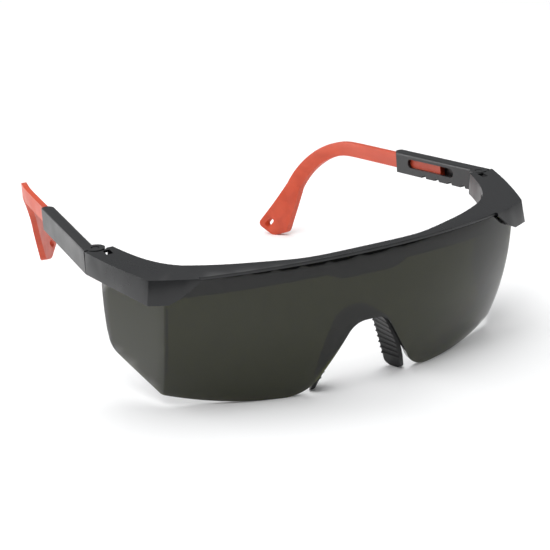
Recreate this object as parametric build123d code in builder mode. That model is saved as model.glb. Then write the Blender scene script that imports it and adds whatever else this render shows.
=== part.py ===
"""Safety glasses: one wraparound filter lens in a black brow frame, with two temples.

Each temple tilts on a small block in the end of the frame, folds on an upright pin and has an
orange arm that slides out of a black housing.  The front is drawn with the ends of the brow
level at z = 0, the middle of the face at x = 0 and the front towards -Y.  A temple is drawn
once, in its own frame, and the left one is its mirror image.  At the end the whole pair is
stood on the table, on the two lobes of the lens and the tip of the right arm.
"""
from build123d import *
from math import sqrt
import os

# ---- lens ------------------------------------------------------------------------------------
LENS_THICKNESS = 2.0
LENS_LEVELS = (6.0, -10.0, -26.0, -42.0, -58.0)    # heights of the sections that it is lofted from
LENS_APEX = (-14.4, 0.144, 0.0052)                 # y of its middle: at z = 0, per z and per z squared
LENS_RADIUS = (140.0, 0.91)                        # curve across the face: at z = 0, and per z
SHIELD_X = (60.9, -0.036, -0.0032)                 # x of a side shield beside the middle, in the same way
SHIELD_TOE = 0.31               # how far a shield moves out for each millimetre back
FOLD_RADIUS = 1.6
LENS_GROOVE_TOP = -1.6          # top of the lens inside the corner blocks
LENS_LOBE = (28.0, -44.8)       # the bottom edge: beside the nose, halfway out and at the fold
LENS_MID = (42.0, -44.4)
LENS_FOOT = (59.0, -42.1)
SHIELD_HELD_Y = 19.9            # end of the part that the frame holds
SHIELD_BACK = ((27.3, -7.45), (28.2, -26.0), (28.0, -32.7), (8.0, -42.6))
SHIELD_CORNER_RADIUS = 5.0
GROOVE_PLAY = 0.08

# ---- nose notch and nose bridge ----------------------------------------------------------------
NOTCH_TOP = (5.4, -20.6)
NOTCH_LEVELS = (-20.0, 0.0)     # depths of the sections that the notch is lofted from
NOTCH_SLOPES = (0.73, 0.28)     # how far its sides open for each millimetre down, at those depths
NOTCH_SLOPE = 0.575             # the same, at the edge of the lens
NOTCH_BOTTOM = -60.0
NOTCH_TOP_RADIUS = 6.5
LOBE_RADIUS = 12.0
BRIDGE_INSIDE = -0.4            # the bridge stands this far inside the edge of the lens
BRIDGE_OUTSIDE = 1.0
BRIDGE_SIDE = ((-4.9, -18.5), (-2.2, -44.7), (-6.4, -44.7), (-12.0, -40.5))    # seen from the side
BRIDGE_FOOT_RADIUS = 2.0
RIB_RADIUS = 0.45
RIB_COUNT = 8
RIB_SPAN = (-25.0, -40.0)       # first and last rib

# ---- brow frame --------------------------------------------------------------------------------
BROW_ARCH = 1.9
BROW_ARCH_X = 52.0
LIP_HEIGHT = 0.9                # the lip over the top edge of the lens
FASCIA_Y = -15.4                # front of the frame, one millimetre outside the lens
CORNER = (65.0, 0.5)
CORNER_FLARE = (0.157, -0.119)  # how far a corner moves for each millimetre down
CORNER_BOW = 4.15               # the front bulges this far past a straight line to its corner
FASCIA_X = 51.6
FASCIA_KNEE = (57.0, -5.5)
FASCIA_FOOT = (60.5, -7.4)
SIDE_MID = (70.0, 15.0)         # outer face of a side of the frame, halfway back
HINGE_X = 73.5
FRAME_BACK_Y = 29.4
FRAME_BOTTOM = -7.4
GUARD_BOTTOM = ((9.0, -6.2), (13.8, -4.2), (30.0, -4.9), (50.0, -6.3))
INNER_EDGE = ((0.0, -11.2), (28.0, -7.1), (40.0, -1.7), (50.0, 4.4), (55.0, 8.5), (59.8, 15.7), (62.9, 24.0))
INNER_CORNER_X = 64.4
EDGE_ROUND = 0.5
SLOT_Y = 14.5                   # relief slot in the inner wall of each side
SLOT_SIZE = (1.2, 4.5)
SLOT_FLOOR_X = 60.5
SLOT_MIDDLE_Z = -4.05

# ---- hinge -------------------------------------------------------------------------------------
PIN_X = 69.4
PIN_Y = 30.9
PIN_RADIUS = 0.9
PIN_HEAD_RADIUS = 1.1
PIN_RECESS_RADIUS = 1.3
PIN_RECESS_DEPTH = 0.4
PIN_PLAY = 0.05
PRESS_GAP = 0.01
KNUCKLE_RADIUS = 3.0
KNUCKLE_RELIEF = 3.5
TILT_Y = 25.4
TILT_Z = -3.7
TILT_PIN_RADIUS = 0.7
TILT_PIN_ENDS = (64.8, 70.4)
TONGUE_X = 67.3
TONGUE_THICKNESS = 1.8
TONGUE_RADIUS = 2.6
TONGUE_PLAY = 0.3
TONGUE_SIDE_PLAY = 0.15
NECK_HEIGHT = 2.4
BLOCK_HEIGHT = 2.8
LEAF_PLAY = 0.15
RECESS_Y = (24.2, 27.6)         # opening in the top of the frame, over the tongue
TILT_STEP = 4.0                 # degrees between two clicks of the tilt
TILT_MIDDLE = -4.5              # the middle click, measured from the top of the brow
TEMPLE_TOE = 4.6                # degrees that an open temple points inwards
TEMPLE_RISE = 4.1               # from the tilt pin up to the top of a temple

# ---- temple housing, in the temple's frame: fold pin at the origin, +Y to the ear, +X outwards -----
HOUSING_OUTER_X = 4.0
HOUSING_INNER_X = -0.35
HOUSING_FRONT_Y = -1.3
HOUSING_BACK = ((4.0, 48.7), (2.6, 49.4), (1.6, 49.4), (-0.35, 47.2))
HOUSING_HEIGHT = 7.5
INNER_ROUND = 1.0
CHANNEL_FRONT_Y = 5.0
CHANNEL_FLOOR = -6.9
BLOCK_CLEARANCE = (3.25, 3.6)   # the housing is open around the block as far as this
WINDOW_Y = (13.8, 40.2)
WINDOW_Z = (-4.9, -1.7)
NOTCH_PITCH = 7.4
NOTCH_COUNT = 4
FIRST_NOTCH_Y = 8.7
NOTCH_CUT_RADIUS = 1.25

# ---- sliding arm, in the same frame ------------------------------------------------------------------
ARM_THICKNESS = 1.9
ARM_HEIGHT = 5.3
ARM_X = 1.83                     # middle of the arm's thickness
ARM_TOP = -0.95
ARM_PLAY = 0.12
ARM_FRONT_Y = 22.6              # front end of an arm that stands in the third notch
PAWL_RADIUS = 0.9
PAWL_DROP = 0.45
BEND_Y = 79.5
BEND_RADIUS = 32.5
BEND_ANGLE = 62.0
TIP_REAR = (122.4, -36.8)       # corners of the tip
TIP_FOOT = (117.4, -41.7)
TIP_FRONT = (112.6, -40.2)
TIP_ROUND = 2.4
INWARD_START_Y = 72.9
INWARD_RADIUS = 76.0
CORD_HOLE = (118.4, -36.2)
CORD_HOLE_SIZE = (3.8, 2.0)
CORD_HOLE_TURN = -54.0

# ---- how this pair stands --------------------------------------------------------------------------
STAND_PITCH = 5.3274
STAND_SHIFT_Y = -68.618
STAND_LIFT = 45.249
SIDES = (
    # name, tilt click
    ("left", 0),
    ("right", -1),
)
BIG = 100.0


# ================================ the front ============================================================
def mirrored(points):
    """Half an outline, from the middle outwards, with its mirror image in front of it."""
    return [(-x, y) for x, y in reversed(points)] + list(points)


def arch_z(x):
    """Height of the top of the brow above its ends."""
    return BROW_ARCH * (1 - (x / BROW_ARCH_X) ** 2)


def lens_volume(inset):
    """Everything behind the outer surface of the lens, with that surface moved in by inset."""
    with BuildPart() as volume:
        for z in LENS_LEVELS:
            apex_y = LENS_APEX[0] + LENS_APEX[1] * z + LENS_APEX[2] * z ** 2
            radius = LENS_RADIUS[0] + LENS_RADIUS[1] * z
            shield_x = SHIELD_X[0] + SHIELD_X[1] * z + SHIELD_X[2] * z ** 2
            shield_x -= inset * sqrt(1 + SHIELD_TOE ** 2)
            near, far = [shield_x + SHIELD_TOE * y for y in (-40.0, 60.0)]
            with BuildSketch(Plane.XY.offset(z)) as section:
                with Locations((0, apex_y + radius)):
                    Circle(radius - inset)
                Polygon((-near, -40), (near, -40), (far, 60), (-far, 60), align=None, mode=Mode.INTERSECT)
                if inset < FOLD_RADIUS:
                    folds = section.vertices().group_by(Axis.Y)[0]
                    fillet(folds, radius=FOLD_RADIUS - inset)
        loft()
    return volume.part


def notch_side(z, slope, grow):
    """How far the side of the notch is from the middle at this height, moved outwards by grow."""
    return NOTCH_TOP[0] + slope * (NOTCH_TOP[1] - z) + grow * sqrt(1 + slope ** 2)


def notch_outline(slope, grow):
    """The nose notch seen from the front, with its edge moved outwards by grow."""
    top_z = NOTCH_TOP[1] + grow
    half = [(notch_side(z, slope, grow), z) for z in (top_z, NOTCH_BOTTOM)]
    with BuildSketch() as outline:
        Polygon(*mirrored(half), align=None)
        fillet(outline.vertices().group_by(Axis.Y)[-1], radius=NOTCH_TOP_RADIUS + grow)
    return outline.sketch


def notch_volume(grow):
    """The notch from front to back, as its sides close in behind the lens."""
    with BuildPart() as volume:
        for y, slope in zip(NOTCH_LEVELS, NOTCH_SLOPES):
            with BuildSketch(Plane.XZ.offset(-y)):
                add(notch_outline(slope, grow))
        loft(ruled=True)
    return volume.part


behind_lens = lens_volume(LENS_THICKNESS + GROOVE_PLAY)

with BuildPart() as lens:
    add(lens_volume(0))
    add(lens_volume(LENS_THICKNESS), mode=Mode.SUBTRACT)
    with BuildSketch(Plane.XZ) as front_view:
        with BuildLine():
            step_x = FASCIA_X - 0.4
            drop = LIP_HEIGHT + GROOVE_PLAY
            step_z = arch_z(step_x) - drop
            top_z = arch_z(0) - drop
            ThreePointArc((0, top_z), (step_x / 2, arch_z(step_x / 2) - drop), (step_x, step_z))
            Polyline(
                (step_x, step_z),
                (step_x, LENS_GROOVE_TOP),
                (BIG, LENS_GROOVE_TOP),
                (BIG, LENS_FOOT[1]),
                LENS_FOOT,
            )
            ThreePointArc(LENS_FOOT, LENS_MID, LENS_LOBE)
            Polyline(LENS_LOBE, (0, LENS_LOBE[1]), (0, top_z))
        make_face()
        mirror(about=Plane.YZ)
        add(notch_outline(NOTCH_SLOPE, 0), mode=Mode.SUBTRACT)
        lobes = front_view.vertices().group_by(Axis.Y)[0].sort_by(lambda v: abs(v.X))[:2]
        fillet(lobes, radius=LOBE_RADIUS)
    extrude(amount=BIG, both=True, mode=Mode.INTERSECT)
    with BuildSketch(Plane.YZ) as side_view:
        Polygon(
            (-BIG, BIG),
            (SHIELD_HELD_Y, BIG),
            (SHIELD_HELD_Y, SHIELD_BACK[0][1]),
            *SHIELD_BACK,
            (SHIELD_BACK[-1][0], -BIG),
            (-BIG, -BIG),
            align=None,
        )
        corner = side_view.vertices().sort_by_distance((*SHIELD_BACK[2], 0))[0]
        fillet(corner, radius=SHIELD_CORNER_RADIUS)
    extrude(amount=BIG, both=True, mode=Mode.INTERSECT)

# The nose bridge: a wall that runs back from the edge of the notch, ribbed where it rests.
with BuildPart() as bridge:
    add(notch_volume(BRIDGE_OUTSIDE))
    add(notch_volume(BRIDGE_INSIDE), mode=Mode.SUBTRACT)
    for step in range(RIB_COUNT):
        rib_z = RIB_SPAN[0] + (RIB_SPAN[1] - RIB_SPAN[0]) * step / (RIB_COUNT - 1)
        for side in (-1, 1):
            start, end = [
                Vector(side * notch_side(rib_z, slope, BRIDGE_INSIDE), y, rib_z)
                for y, slope in zip(NOTCH_LEVELS, NOTCH_SLOPES)
            ]
            with BuildSketch(Plane(origin=start, z_dir=end - start)):
                Circle(RIB_RADIUS)
            extrude(amount=(end - start).length)
    add(behind_lens, mode=Mode.INTERSECT)
    with BuildSketch(Plane.YZ) as depth_view:
        Polygon(*BRIDGE_SIDE, (-BIG, BRIDGE_SIDE[-1][1]), (-BIG, BRIDGE_SIDE[0][1]), align=None)
        foot_corner = depth_view.vertices().sort_by_distance((*BRIDGE_SIDE[1], 0))[0]
        fillet(foot_corner, radius=BRIDGE_FOOT_RADIUS)
    extrude(amount=BIG, both=True, mode=Mode.INTERSECT)

with BuildPart() as frame:
    for z in (-10, 4):
        corner = (CORNER[0] - CORNER_FLARE[0] * z, CORNER[1] - CORNER_FLARE[1] * z)
        bow = (corner[0] / 2, (FASCIA_Y + corner[1]) / 2 - CORNER_BOW)
        with BuildSketch(Plane.XY.offset(z)) as plan:
            with BuildLine():
                ThreePointArc((0, FASCIA_Y), bow, corner)
                ThreePointArc(corner, SIDE_MID, (HINGE_X, FRAME_BACK_Y))
                Polyline((HINGE_X, FRAME_BACK_Y), (INNER_CORNER_X, FRAME_BACK_Y))
                Spline(
                    (INNER_CORNER_X, FRAME_BACK_Y),
                    *reversed(INNER_EDGE),
                    tangents=((-0.25, -1), (-1, 0)),
                )
                Line(INNER_EDGE[0], (0, FASCIA_Y))
            make_face()
            mirror(about=Plane.YZ)
            front_corners = [
                plan.vertices().sort_by_distance((side * corner[0], corner[1], 0))[0] for side in (-1, 1)
            ]
            fillet(front_corners, radius=EDGE_ROUND)
    loft(ruled=True)
    with BuildSketch(Plane.XZ):
        with BuildLine():
            ThreePointArc((-BROW_ARCH_X, 0), (0, BROW_ARCH), (BROW_ARCH_X, 0))
            Polyline(
                (BROW_ARCH_X, 0),
                (BIG, 0),
                (BIG, FRAME_BOTTOM),
                *reversed(mirrored((*GUARD_BOTTOM, FASCIA_FOOT))),
                (-BIG, FRAME_BOTTOM),
                (-BIG, 0),
                (-BROW_ARCH_X, 0),
            )
        make_face()
    extrude(amount=BIG, both=True, mode=Mode.INTERSECT)



def window(lip, inset):
    """The room for the front of the lens, as high as the lip and as deep as the inset of its surface."""
    with BuildPart() as room:
        with BuildSketch(Plane.XZ):
            with BuildLine():
                top_z = [arch_z(x) - lip for x in (0, FASCIA_X / 2, FASCIA_X)]
                ThreePointArc((0, top_z[0]), (FASCIA_X / 2, top_z[1]), (FASCIA_X, top_z[2]))
                Polyline(
                    (FASCIA_X, top_z[2]),
                    (FASCIA_X, 0 - LIP_HEIGHT),
                    FASCIA_KNEE,
                    FASCIA_FOOT,
                    (FASCIA_FOOT[0], -12),
                    (0, -12),
                    (0, top_z[0]),
                )
            make_face()
            mirror(about=Plane.YZ)
        extrude(amount=BIG, both=True)
        add(lens_volume(inset), mode=Mode.SUBTRACT)
    return room.part


window_before_lip = window(-1.0, 0)
window_before_lens = window(LIP_HEIGHT, LENS_THICKNESS + GROOVE_PLAY)

# The groove that the lens stands in, inside the corner blocks and the sides.
with BuildPart() as groove:
    add(lens_volume(-GROOVE_PLAY))
    add(behind_lens, mode=Mode.SUBTRACT)
    with BuildSketch(Plane.YZ):
        with Locations((SHIELD_HELD_Y + GROOVE_PLAY, LENS_GROOVE_TOP + GROOVE_PLAY)):
            Rectangle(BIG, BIG, align=(Align.MAX, Align.MAX))
    extrude(amount=BIG, both=True, mode=Mode.INTERSECT)
    with BuildSketch(Plane.XZ):
        Rectangle(2 * (FASCIA_X - 0.5), BIG)
    extrude(amount=BIG, both=True, mode=Mode.SUBTRACT)

# Everything that the right hinge needs cut out of the frame.
with BuildPart() as hinge_room:
    cavity_top = TONGUE_RADIUS + TONGUE_PLAY
    with BuildSketch(Plane.YZ.offset(TONGUE_X)):
        with Locations((TILT_Y, TILT_Z)):
            Circle(cavity_top)
            Rectangle(BIG, 2 * cavity_top, align=(Align.MIN, Align.CENTER))
    extrude(amount=TONGUE_THICKNESS / 2 + TONGUE_SIDE_PLAY, both=True)
    with BuildSketch(Plane.XY.offset(TILT_Z)):
        with Locations((TONGUE_X, RECESS_Y[0])):
            Rectangle(TONGUE_THICKNESS + 0.4, RECESS_Y[1] - RECESS_Y[0], align=(Align.CENTER, Align.MIN))
    extrude(amount=10)
    with BuildSketch(Plane.YZ.offset(TILT_PIN_ENDS[0])):
        with Locations((TILT_Y, TILT_Z)):
            Circle(TILT_PIN_RADIUS + PRESS_GAP)
    extrude(amount=TILT_PIN_ENDS[1] - TILT_PIN_ENDS[0])
    with BuildSketch(Plane.YZ.offset(SLOT_FLOOR_X)):
        with Locations((SLOT_Y, SLOT_MIDDLE_Z)):
            SlotOverall(SLOT_SIZE[1], SLOT_SIZE[0], rotation=90)
    extrude(amount=-3)


def temple_place(click):
    """Where a temple's frame lies when its tilt stands at this click."""
    tilted = Pos(0, TILT_Y, TILT_Z) * Rot(TILT_MIDDLE + click * TILT_STEP, 0, 0)
    return tilted * Pos(PIN_X, PIN_Y - TILT_Y, TEMPLE_RISE)


with BuildPart() as knuckle_room:
    Cylinder(KNUCKLE_RELIEF, BIG)

# The rear of a side follows the middle click, so it is cut square to the temple.
with BuildPart() as rear_room:
    Box(BIG, BIG, BIG, align=(Align.CENTER, Align.MIN, Align.CENTER))

middle_click = temple_place(0)
rear_plane = Pos(0, FRAME_BACK_Y, 0) * Rot(TILT_MIDDLE, 0, 0)
with BuildPart() as brow_frame:
    add(frame)
    for cutter in (window_before_lip, window_before_lens, groove.part):
        add(cutter, mode=Mode.SUBTRACT)
    for cutter in (hinge_room.part, middle_click * knuckle_room.part, rear_plane * rear_room.part):
        add(cutter, mode=Mode.SUBTRACT)
        add(cutter.mirror(Plane.YZ), mode=Mode.SUBTRACT)

with BuildPart() as tilt_pin:
    with BuildSketch(Plane.YZ.offset(TILT_PIN_ENDS[0])):
        with Locations((TILT_Y, TILT_Z)):
            Circle(TILT_PIN_RADIUS)
    extrude(amount=TILT_PIN_ENDS[1] - TILT_PIN_ENDS[0])
    chamfer(tilt_pin.edges().filter_by(GeomType.CIRCLE), length=0.15)


# ================================ one temple ===========================================================
block_z = -TEMPLE_RISE
pivot_y = TILT_Y - PIN_Y
tongue_x = TONGUE_X - PIN_X

with BuildPart() as hinge_block:
    with BuildSketch(Plane.YZ.offset(tongue_x)):
        with Locations((pivot_y, block_z)):
            Circle(TONGUE_RADIUS)
            Rectangle(-pivot_y, NECK_HEIGHT, align=(Align.MIN, Align.CENTER))
    extrude(amount=TONGUE_THICKNESS / 2, both=True)
    with BuildSketch(Plane.XY.offset(block_z)):
        Circle(KNUCKLE_RADIUS)
    extrude(amount=BLOCK_HEIGHT / 2, both=True)
    with BuildSketch(Plane.YZ):
        with Locations((pivot_y, block_z)):
            Circle(TILT_PIN_RADIUS + PIN_PLAY)
    extrude(amount=BIG, both=True, mode=Mode.SUBTRACT)
    with BuildSketch(Plane.XY):
        Circle(PIN_RADIUS + PIN_PLAY)
    extrude(amount=BIG, both=True, mode=Mode.SUBTRACT)

with BuildPart() as fold_pin:
    with BuildSketch(Plane.XY.offset(-HOUSING_HEIGHT + 0.1)):
        Circle(PIN_RADIUS)
    extrude(amount=HOUSING_HEIGHT - 0.1 - PIN_RECESS_DEPTH)
    with BuildSketch(Plane.XY.offset(-PIN_RECESS_DEPTH)):
        Circle(PIN_HEAD_RADIUS)
    extrude(amount=PIN_RECESS_DEPTH - 0.1)
    fillet(fold_pin.edges().group_by(Axis.Z)[-1], radius=0.25)
    chamfer(fold_pin.edges().group_by(Axis.Z)[0], length=0.2)

with BuildPart() as housing:
    with BuildSketch(Plane.XY):
        Polygon(
            (HOUSING_INNER_X, HOUSING_FRONT_Y),
            (HOUSING_OUTER_X, HOUSING_FRONT_Y),
            *HOUSING_BACK,
            align=None,
        )
        Circle(KNUCKLE_RADIUS)
    extrude(amount=-HOUSING_HEIGHT)
    rims = housing.edges().group_by(Axis.Z)[-1]
    inner_rim = rims.filter_by(Axis.Y).sort_by(Axis.X)[0]
    fillet(inner_rim, radius=INNER_ROUND)
    outer_rim = housing.edges().group_by(Axis.Z)[-1].filter_by(Axis.Y).sort_by(Axis.X)[-1]
    fillet(outer_rim, radius=EDGE_ROUND)
    # the channel that the arm slides in, open to the rear
    with BuildSketch(Plane.XZ.offset(-CHANNEL_FRONT_Y)):
        with Locations((ARM_X, ARM_TOP + ARM_PLAY)):
            Rectangle(
                ARM_THICKNESS + 2 * ARM_PLAY,
                ARM_TOP + ARM_PLAY - CHANNEL_FLOOR,
                align=(Align.CENTER, Align.MAX),
            )
    extrude(amount=-BIG, mode=Mode.SUBTRACT)
    # the long window in the inner wall, and the clicks along its lower edge
    with BuildSketch(Plane.YZ.offset(ARM_X)):
        with Locations(((WINDOW_Y[0] + WINDOW_Y[1]) / 2, (WINDOW_Z[0] + WINDOW_Z[1]) / 2)):
            SlotOverall(WINDOW_Y[1] - WINDOW_Y[0], WINDOW_Z[1] - WINDOW_Z[0])
        for step in range(NOTCH_COUNT):
            notch_y = FIRST_NOTCH_Y + step * NOTCH_PITCH
            with Locations((notch_y, -HOUSING_HEIGHT)):
                Circle(NOTCH_CUT_RADIUS)
    extrude(amount=-10, mode=Mode.SUBTRACT)
    # room for the hinge block between the two leaves
    with BuildSketch(Plane.XY.offset(block_z)):
        with Locations((BLOCK_CLEARANCE[0], BLOCK_CLEARANCE[1])):
            Rectangle(BIG, BIG, align=(Align.MAX, Align.MAX))
    extrude(amount=BLOCK_HEIGHT / 2 + LEAF_PLAY, both=True, mode=Mode.SUBTRACT)
    with BuildSketch(Plane.XY):
        Circle(PIN_RADIUS + PRESS_GAP)
    extrude(amount=-BIG, mode=Mode.SUBTRACT)
    with BuildSketch(Plane.XY):
        Circle(PIN_RECESS_RADIUS)
    extrude(amount=-PIN_RECESS_DEPTH, mode=Mode.SUBTRACT)

with BuildPart() as arm:
    with BuildSketch(Plane.YZ) as side_profile:
        with BuildLine():
            top = Line((ARM_FRONT_Y, ARM_TOP), (BEND_Y, ARM_TOP))
            over = JernArc(top @ 1, top % 1, BEND_RADIUS + ARM_HEIGHT / 2, -BEND_ANGLE)
            tip = Polyline(over @ 1, TIP_REAR, TIP_FOOT, TIP_FRONT)
            bottom = Line((ARM_FRONT_Y, ARM_TOP - ARM_HEIGHT), (BEND_Y, ARM_TOP - ARM_HEIGHT))
            under = JernArc(bottom @ 1, bottom % 1, BEND_RADIUS - ARM_HEIGHT / 2, -BEND_ANGLE)
            Line(under @ 1, tip @ 1)
            Line(bottom @ 0, top @ 0)
        make_face()
        with Locations((ARM_FRONT_Y + PAWL_RADIUS, ARM_TOP - ARM_HEIGHT + PAWL_RADIUS - PAWL_DROP)):
            Circle(PAWL_RADIUS)
        tip_corners = [
            side_profile.vertices().sort_by_distance((*corner, 0))[0]
            for corner in (TIP_REAR, TIP_FOOT, TIP_FRONT)
        ]
        fillet(tip_corners, radius=TIP_ROUND)
        with Locations(CORD_HOLE):
            SlotOverall(*CORD_HOLE_SIZE, rotation=CORD_HOLE_TURN, mode=Mode.SUBTRACT)
    extrude(amount=40, both=True)
    with BuildSketch(Plane.XY.offset(10)):
        with BuildLine():
            near = Line((ARM_X - ARM_THICKNESS / 2, 0), (ARM_X - ARM_THICKNESS / 2, INWARD_START_Y))
            near_bend = JernArc(near @ 1, near % 1, INWARD_RADIUS - ARM_THICKNESS / 2, 45)
            far = Line((ARM_X + ARM_THICKNESS / 2, 0), (ARM_X + ARM_THICKNESS / 2, INWARD_START_Y))
            far_bend = JernArc(far @ 1, far % 1, INWARD_RADIUS + ARM_THICKNESS / 2, 45)
            Line(near_bend @ 1, far_bend @ 1)
            Line(near @ 0, far @ 0)
        make_face()
    extrude(amount=-60, mode=Mode.INTERSECT)


# ================================ the whole pair, stood on the table ====================================
stand = Pos(0, STAND_SHIFT_Y, STAND_LIFT) * Rot(STAND_PITCH, 0, 0)
finished = {
    "brow_frame": stand * brow_frame.part,
    "filter_lens": stand * lens.part,
    "nose_bridge": stand * bridge.part,
}
for name, click in SIDES:
    place = temple_place(click)
    open_place = place * Rot(0, 0, TEMPLE_TOE)
    pieces = {
        "tilt_pin": tilt_pin.part,
        "hinge_block": place * hinge_block.part,
        "fold_pin": place * fold_pin.part,
        "temple_housing": open_place * housing.part,
        "temple_arm": open_place * arm.part,
    }
    for piece, shape in pieces.items():
        finished[f"{piece}_{name}"] = stand * (shape if name == "right" else shape.mirror(Plane.YZ))

os.makedirs("parts", exist_ok=True)
for name, shape in finished.items():
    shape.label = name
    export_step(shape, f"parts/{name}.step")
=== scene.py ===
from math import radians

import bpy
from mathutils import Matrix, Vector

# Safety glasses: materials, soft moulded edges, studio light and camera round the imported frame.
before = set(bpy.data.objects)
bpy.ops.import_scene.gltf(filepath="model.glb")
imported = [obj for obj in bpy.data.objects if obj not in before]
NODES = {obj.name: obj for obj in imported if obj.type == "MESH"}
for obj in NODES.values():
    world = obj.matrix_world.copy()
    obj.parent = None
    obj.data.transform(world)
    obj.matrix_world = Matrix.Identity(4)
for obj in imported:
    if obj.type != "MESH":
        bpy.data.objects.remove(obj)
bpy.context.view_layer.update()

# ---- colours, in linear light -------------------------------------------------------------------
BLACK = (0.0060, 0.0064, 0.0074, 1)
BLACK_WORN = (0.012, 0.0125, 0.0135, 1)
HOUSING_BLACK = (0.011, 0.0114, 0.0124, 1)
HOUSING_WORN = (0.020, 0.0205, 0.0215, 1)
PAD_BLACK = (0.006, 0.006, 0.0065, 1)
PAD_PALE = (0.012, 0.012, 0.0125, 1)
ORANGE = (0.60, 0.068, 0.020, 1)
ORANGE_DEEP = (0.52, 0.052, 0.014, 1)
TINT = (0.0095, 0.0105, 0.0014, 1)
TINT_PALE = (0.0125, 0.0135, 0.0030, 1)
FLOOR_WHITE = (0.96, 0.96, 0.96, 1)
FLOOR_GREY = (0.94, 0.94, 0.94, 1)

PALE_ORANGE = (0.80, 0.30, 0.16, 1)
LENS_DUST = (0.05, 0.052, 0.045, 1)
SKY = (0.97, 0.985, 1.0, 1)

# ---- camera and light, in metres, degrees and watts ---------------------------------------------
CAMERA_PLACE = (-0.21692, -0.46070, 0.19037)
CAMERA_TURN = (70.817, 3.270, -27.227)
CAMERA_LENS = 101.45
SENSOR = 36.0
CLIP_START = 0.01
CLIP_END = 20
SOFTBOXES = {
    # name: place, size and power
    "key": ((-0.5, -0.5, 1.3), (1.0, 1.0), 11),
    "back_left": ((-0.75, 0.75, 0.35), (0.9, 0.6), 6),
    "overhead": ((0.2, 0.3, 1.5), (1.4, 1.4), 11),
}
LIT_POINT = (0, 0, 0.02)        # where every softbox points
SKY_LOW = 0.10                  # strength at the horizon
SKY_HIGH = 0.55
SKY_FULL = 0.9                  # height in the view direction at which it is full
FLOOR_HALF = 4.0

# ---- moulded edges, in metres and degrees --------------------------------------------------------
WELD_REACH = 0.000002
EDGE_STEPS = 3
EDGE_ANGLE = 32


# ================================ nodes =================================================================
class Graph:
    """A material's node tree, with short calls for the nodes that every material here uses."""

    def __init__(self, name):
        self.material = bpy.data.materials.new(name)
        self.material.use_nodes = True
        self.tree = self.material.node_tree
        self.shader = self.tree.nodes["Principled BSDF"]
        self.place = self.node("ShaderNodeTexCoord").outputs["Object"]

    def node(self, kind, **values):
        made = self.tree.nodes.new(kind)
        for key, value in values.items():
            setattr(made, key, value)
        return made

    def link(self, source, socket):
        self.tree.links.new(source, socket)

    def noise(self, scale, detail=3.0, roughness=0.55, stretch=(1, 1, 1), distortion=0.0):
        """Noise with features about 1 / scale metres wide, stretched along the axes."""
        mapping = self.node("ShaderNodeMapping")
        mapping.inputs["Scale"].default_value = stretch
        self.link(self.place, mapping.inputs["Vector"])
        made = self.node("ShaderNodeTexNoise")
        made.inputs["Scale"].default_value = scale
        made.inputs["Detail"].default_value = detail
        made.inputs["Roughness"].default_value = roughness
        made.inputs["Distortion"].default_value = distortion
        self.link(mapping.outputs["Vector"], made.inputs["Vector"])
        return made.outputs["Fac"]

    def specks(self, scale, reach):
        """Small round spots, 1 at their middle."""
        cells = self.node("ShaderNodeTexVoronoi")
        cells.inputs["Scale"].default_value = scale
        self.link(self.place, cells.inputs["Vector"])
        return self.ramp(cells.outputs["Distance"], 0.0, reach, 1.0, 0.0)

    def ramp(self, source, low, high, out_low=0.0, out_high=1.0):
        """source from low to high becomes out_low to out_high, held at both ends."""
        made = self.node("ShaderNodeMapRange", interpolation_type="SMOOTHSTEP")
        settings = {"From Min": low, "From Max": high, "To Min": out_low, "To Max": out_high}
        for name, value in settings.items():
            made.inputs[name].default_value = value
        self.link(source, made.inputs["Value"])
        return made.outputs["Result"]

    def math(self, operation, first, second):
        made = self.node("ShaderNodeMath", operation=operation)
        for socket, value in zip(made.inputs, (first, second)):
            if isinstance(value, (int, float)):
                socket.default_value = value
            else:
                self.link(value, socket)
        return made.outputs[0]

    def mix(self, share, first, second):
        made = self.node("ShaderNodeMix", data_type="RGBA")
        self.link(share, made.inputs["Factor"])
        for socket, value in ((made.inputs[6], first), (made.inputs[7], second)):
            if isinstance(value, tuple):
                socket.default_value = value
            else:
                self.link(value, socket)
        return made.outputs[2]

    def bump(self, height, depth, strength=1.0, below=None):
        made = self.node("ShaderNodeBump")
        made.inputs["Distance"].default_value = depth
        made.inputs["Strength"].default_value = strength
        self.link(height, made.inputs["Height"])
        if below is not None:
            self.link(below, made.inputs["Normal"])
        return made.outputs["Normal"]

    def set(self, **values):
        """Numbers, colours or outputs on the shader's own sockets; names use _ for a space."""
        for key, value in values.items():
            socket = self.shader.inputs[key.replace("_", " ")]
            if isinstance(value, (int, float, tuple)):
                socket.default_value = value
            else:
                self.link(value, socket)


# ================================ materials ==============================================================
def moulded_black(name, dark, worn, gloss, specular):
    """Injection-moulded black plastic: cloudy gloss, fine spark texture, a little dust and rubbing."""
    g = Graph(name)
    clouds = g.noise(55, detail=4)
    fine = g.noise(4200, detail=2)
    rubbed = g.ramp(g.noise(160, detail=6, roughness=0.7, distortion=0.6), 0.56, 0.72)
    dust = g.math("MULTIPLY", g.specks(900, 0.16), g.ramp(g.noise(240), 0.55, 0.75))
    worn_share = g.math("ADD", g.math("MULTIPLY", rubbed, 0.45), g.math("MULTIPLY", dust, 0.5))
    base = g.mix(worn_share, dark, worn)
    dull = g.ramp(clouds, 0.35, 0.65, gloss - 0.03, gloss + 0.05)
    dull = g.math("ADD", dull, g.math("MULTIPLY", worn_share, 0.10))
    waves = g.bump(g.noise(120, detail=1), 0.00002, 0.5)
    grain = g.bump(fine, 0.000006, 0.6, below=waves)
    g.set(Base_Color=base, Roughness=dull, Normal=grain, IOR=1.50, Specular_IOR_Level=specular)
    return g.material


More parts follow.
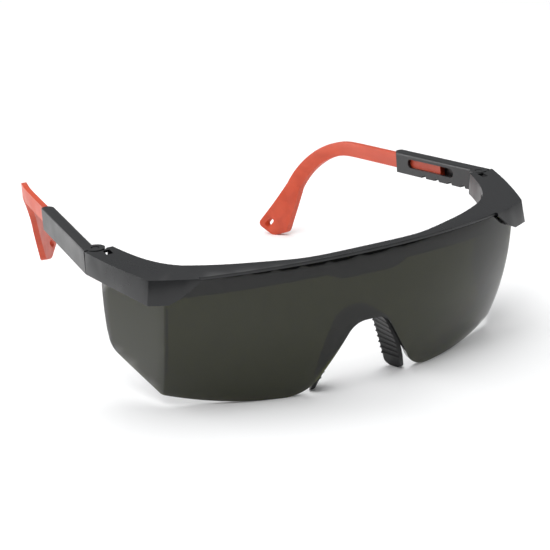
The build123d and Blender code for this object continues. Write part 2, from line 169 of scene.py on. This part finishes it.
def orange_nylon():
    """Satin orange nylon with faint flow lines along the arm and a little depth under the surface."""
    g = Graph("orange_nylon")
    flow = g.noise(60, detail=4, stretch=(5, 0.5, 3), distortion=0.4)
    tone = g.ramp(flow, 0.35, 0.68)
    base = g.mix(tone, ORANGE, ORANGE_DEEP)
    pale = g.math("MULTIPLY", g.specks(1300, 0.12), g.ramp(g.noise(300), 0.5, 0.7))
    base = g.mix(g.math("MULTIPLY", pale, 0.3), base, PALE_ORANGE)
    dull = g.ramp(g.noise(90, detail=4), 0.35, 0.65, 0.36, 0.46)
    waves = g.bump(flow, 0.00002, 0.4)
    grain = g.bump(g.noise(3600, detail=2), 0.000008, 0.6, below=waves)
    g.set(Base_Color=base, Roughness=dull, Normal=grain, IOR=1.52, Specular_IOR_Level=0.5)
    g.set(Subsurface_Weight=0.15, Subsurface_Radius=(1.0, 0.35, 0.15), Subsurface_Scale=0.0012)
    return g.material


def filter_lens():
    """Dark olive polycarbonate: clear to look through, with faint haze, dust and hair scratches."""
    g = Graph("filter_lens")
    depth = g.ramp(g.noise(28, detail=3), 0.35, 0.7)
    dust = g.math("MULTIPLY", g.specks(520, 0.09), g.ramp(g.noise(130), 0.56, 0.72))
    scratch = g.ramp(g.noise(160, detail=2, stretch=(1, 14, 9), distortion=1.5), 0.70, 0.74)
    base = g.mix(g.math("MULTIPLY", depth, 0.5), TINT, TINT_PALE)
    base = g.mix(g.math("MULTIPLY", dust, 0.6), base, LENS_DUST)
    dull = g.math("ADD", g.ramp(g.noise(75), 0.4, 0.7, 0.035, 0.07), g.math("MULTIPLY", dust, 0.2))
    dull = g.math("ADD", dull, g.math("MULTIPLY", scratch, 0.04))
    ripple = g.bump(g.noise(22, detail=1), 0.00005, 0.35)
    normal = g.bump(scratch, 0.000003, 0.4, below=ripple)
    g.set(Base_Color=base, Roughness=dull, Normal=normal, Transmission_Weight=1.0, IOR=1.45)
    return g.material


def nose_pad():
    """Soft satin black plastic of the nose bridge, with a fine grain and pale rubbing."""
    g = Graph("nose_pad")
    rubbed = g.ramp(g.noise(220, detail=5, roughness=0.7), 0.5, 0.7)
    base = g.mix(g.math("MULTIPLY", rubbed, 0.6), PAD_BLACK, PAD_PALE)
    dull = g.ramp(g.noise(110), 0.35, 0.65, 0.42, 0.55)
    grain = g.bump(g.noise(3000, detail=3), 0.00001, 0.7)
    g.set(Base_Color=base, Roughness=dull, Normal=grain, IOR=1.46, Specular_IOR_Level=0.45)
    return g.material


MATERIALS = {
    "brow_frame": moulded_black("black_frame", BLACK, BLACK_WORN, 0.30, 0.5),
    "hinge_block": moulded_black("black_hinge", BLACK, BLACK_WORN, 0.34, 0.5),
    "temple_housing": moulded_black("black_housing", HOUSING_BLACK, HOUSING_WORN, 0.33, 0.5),
    "tilt_pin": moulded_black("black_tilt_pin", BLACK, BLACK_WORN, 0.25, 0.5),
    "fold_pin": moulded_black("black_fold_pin", BLACK, HOUSING_WORN, 0.22, 0.6),
    "temple_arm": orange_nylon(),
    "filter_lens": filter_lens(),
    "nose_bridge": nose_pad(),
}
# How far each piece's moulded edges are rounded, in metres.
EDGE_ROUND = {
    "brow_frame": 0.00028,
    "hinge_block": 0.00012,
    "temple_housing": 0.00022,
    "temple_arm": 0.00035,
    "filter_lens": 0.00030,
}


def rounded(piece, width):
    """Joins the faces of a CAD mesh and rounds its sharp edges."""
    weld = piece.modifiers.new("weld", "WELD")
    weld.merge_threshold = WELD_REACH
    bevel = piece.modifiers.new("soft_edges", "BEVEL")
    bevel.width = width
    bevel.segments = EDGE_STEPS
    bevel.limit_method = "ANGLE"
    bevel.angle_limit = radians(EDGE_ANGLE)
    bevel.use_clamp_overlap = True
    bevel.harden_normals = True


for node, piece in NODES.items():
    kind = next(name for name in MATERIALS if node.startswith(name))
    piece.data.materials.clear()
    piece.data.materials.append(MATERIALS[kind])
    if kind in EDGE_ROUND:
        rounded(piece, EDGE_ROUND[kind])


# ================================ floor, light and camera ===================================================
def floor():
    """A large pale floor, faintly uneven in tone."""
    mesh = bpy.data.meshes.new("floor")
    corners = [(x * FLOOR_HALF, y * FLOOR_HALF, 0) for x, y in ((-1, -1), (1, -1), (1, 1), (-1, 1))]
    mesh.from_pydata(corners, [], [(0, 1, 2, 3)])
    piece = bpy.data.objects.new("floor", mesh)
    bpy.context.scene.collection.objects.link(piece)
    g = Graph("floor")
    g.set(Base_Color=g.mix(g.noise(2), FLOOR_WHITE, FLOOR_GREY), Roughness=0.9, Specular_IOR_Level=0.1)
    mesh.materials.append(g.material)


def softbox(name, place, size, power):
    """A rectangular soft light that points at the glasses."""
    data = bpy.data.lights.new(name, "AREA")
    data.shape = "RECTANGLE"
    data.size, data.size_y = size
    data.energy = power
    light = bpy.data.objects.new(name, data)
    light.location = place
    light.rotation_euler = (Vector(LIT_POINT) - Vector(place)).to_track_quat("-Z", "Y").to_euler()
    bpy.context.scene.collection.objects.link(light)


def surroundings():
    """The studio round the set: bright above, darker near the horizon."""
    world = bpy.data.worlds.new("studio")
    world.use_nodes = True
    tree = world.node_tree
    background = tree.nodes["Background"]
    place = tree.nodes.new("ShaderNodeTexCoord")
    split = tree.nodes.new("ShaderNodeSeparateXYZ")
    fade = tree.nodes.new("ShaderNodeMapRange")
    fade.inputs["From Min"].default_value = 0.0
    fade.inputs["From Max"].default_value = SKY_FULL
    fade.inputs["To Min"].default_value = SKY_LOW
    fade.inputs["To Max"].default_value = SKY_HIGH
    tree.links.new(place.outputs["Generated"], split.inputs["Vector"])
    tree.links.new(split.outputs["Z"], fade.inputs["Value"])
    tree.links.new(fade.outputs["Result"], background.inputs["Strength"])
    background.inputs["Color"].default_value = SKY
    bpy.context.scene.world = world


def camera():
    """The camera, at the height and angle of a product shot from the front left."""
    data = bpy.data.cameras.new("camera")
    data.lens = CAMERA_LENS
    data.sensor_width = SENSOR
    data.clip_start = CLIP_START
    data.clip_end = CLIP_END
    made = bpy.data.objects.new("camera", data)
    made.location = CAMERA_PLACE
    made.rotation_euler = [radians(angle) for angle in CAMERA_TURN]
    bpy.context.scene.collection.objects.link(made)
    bpy.context.scene.camera = made


floor()
for name, (place, size, power) in SOFTBOXES.items():
    softbox(name, place, size, power)
surroundings()
camera()
bpy.context.scene.view_settings.view_transform = "Standard"
